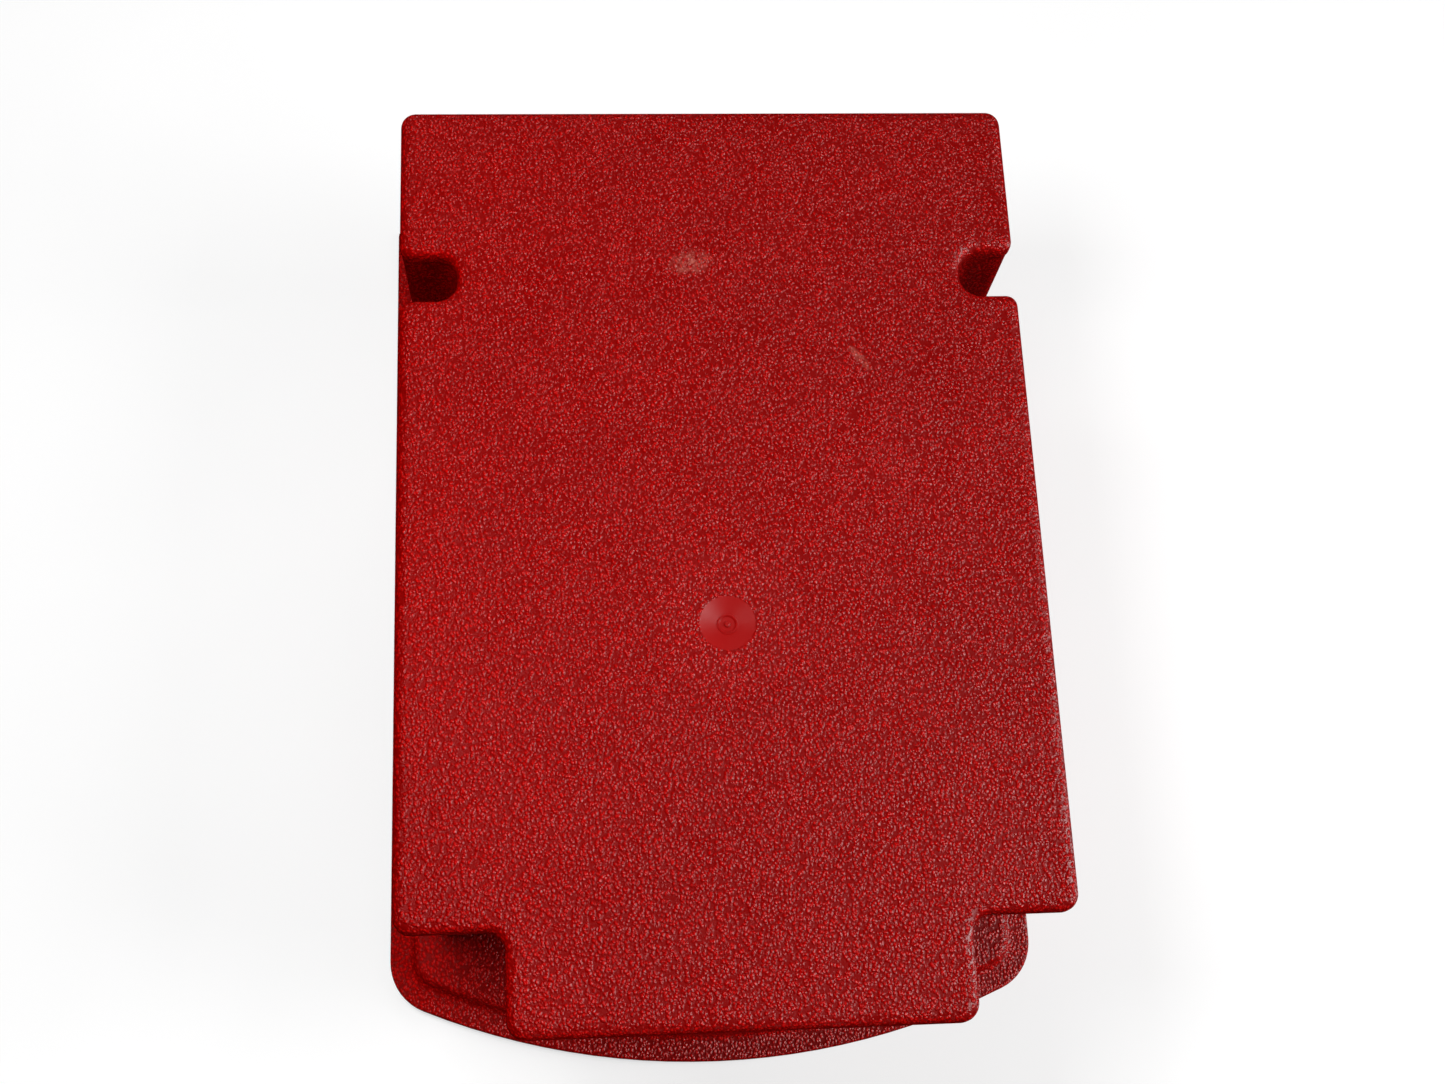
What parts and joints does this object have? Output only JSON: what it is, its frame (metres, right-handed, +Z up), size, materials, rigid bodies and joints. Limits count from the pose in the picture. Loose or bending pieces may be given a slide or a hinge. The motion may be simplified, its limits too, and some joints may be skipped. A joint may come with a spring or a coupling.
{
  "type": "water filled barrier",
  "caption": "Low water filled barrier block with a wide foot, a hinged moulded top cover, filler and drain ports, and a pin coupling at each end.",
  "frame": {"origin": "middle of the block's bounding box in plan, on the ground under its feet", "axes": "+X to the right across the block, +Y along the block to its coupling end with the concave tail, +Z up"},
  "size_m": [0.4824, 0.69, 0.275],
  "materials": {
    "cover_red": "leather grain, slight sheen",
    "tank_red": "fine grain",
    "base_red": "leather grain",
    "rubber_black": "matt",
    "zinc_steel": "zinc plated, satin",
    "galvanised_steel": "hot dip galvanised, satin",
    "brass": "satin",
    "cap_grey": "fine grain",
    "neck_grey": "satin",
    "reflector_white": "prismatic, glossy"
  },
  "bodies": {
    "block": {"base_tray": "base_red", "tank_shell": "tank_red", "tank_roof": "tank_red", "base_seal": "rubber_black", "rubber_feet": "rubber_black", "foot_screws": "zinc_steel", "base_screws": "zinc_steel", "cover_buffers": "rubber_black", "filler_neck": "neck_grey", "drain_boss": "neck_grey", "front_tongue": "galvanised_steel", "tongue_bolts": "zinc_steel", "rear_clevis": "galvanised_steel", "clevis_bolts": "zinc_steel", "threaded_inserts": "brass", "hinge_bracket_left": "galvanised_steel", "hinge_bracket_right": "galvanised_steel", "hinge_pin_left": "zinc_steel", "hinge_pin_right": "zinc_steel", "hinge_screws": "zinc_steel", "button_screws": "zinc_steel", "reflector_left": "reflector_white", "reflector_right": "reflector_white", "reflector_rivets": "zinc_steel"},
    "cover": {"top_cover": "cover_red"},
    "gasket_carrier": {"filler_gasket": "rubber_black"},
    "cap": {"filler_cap": "cap_grey"},
    "oring_carrier": {"drain_oring": "rubber_black"},
    "plug": {"drain_plug": "cap_grey"},
    "pin": {"coupling_pin": "zinc_steel"},
    "button_left": {"turn_button_left": "cap_grey"},
    "button_right": {"turn_button_right": "cap_grey"}
  },
  "joints": [
    {"name": "cover_hinge", "type": "hinge", "parent": "block", "child": "cover", "pos_m": [0, 0.279, 0.25], "axis": [-1, 0, 0], "range_deg": [0, 100]},
    {"name": "cap_lift", "type": "slide", "parent": "block", "child": "gasket_carrier", "axis": [0, 0, 1], "range_m": [0, 0.01801]},
    {"name": "cap_turn", "type": "hinge", "parent": "gasket_carrier", "child": "cap", "pos_m": [0, 0.09, 0.22], "axis": [0, 0, 1], "range_deg": [0, 1080]},
    {"name": "drain_slide", "type": "slide", "parent": "block", "child": "oring_carrier", "axis": [0, 1, 0], "range_m": [0, 0.01601]},
    {"name": "drain_turn", "type": "hinge", "parent": "oring_carrier", "child": "plug", "pos_m": [0, 0.27, 0.062], "axis": [0, 1, 0], "range_deg": [0, 1440]},
    {"name": "coupling_pin_lift", "type": "slide", "parent": "block", "child": "pin", "axis": [0, 0, 1], "range_m": [0, 0.04]},
    {"name": "button_left_turn", "type": "hinge", "parent": "block", "child": "button_left", "pos_m": [-0.125, -0.252, 0.214], "axis": [0, 1, 0], "range_deg": [0, 90]},
    {"name": "button_right_turn", "type": "hinge", "parent": "block", "child": "button_right", "pos_m": [0.125, -0.252, 0.214], "axis": [0, -1, 0], "range_deg": [0, 90]}
  ],
  "couplings": [
    {"joint": "cap_lift", "follows": "cap_turn", "m_per_rad": 0.00095493},
    {"joint": "drain_slide", "follows": "drain_turn", "m_per_rad": 0.00063662}
  ]
}
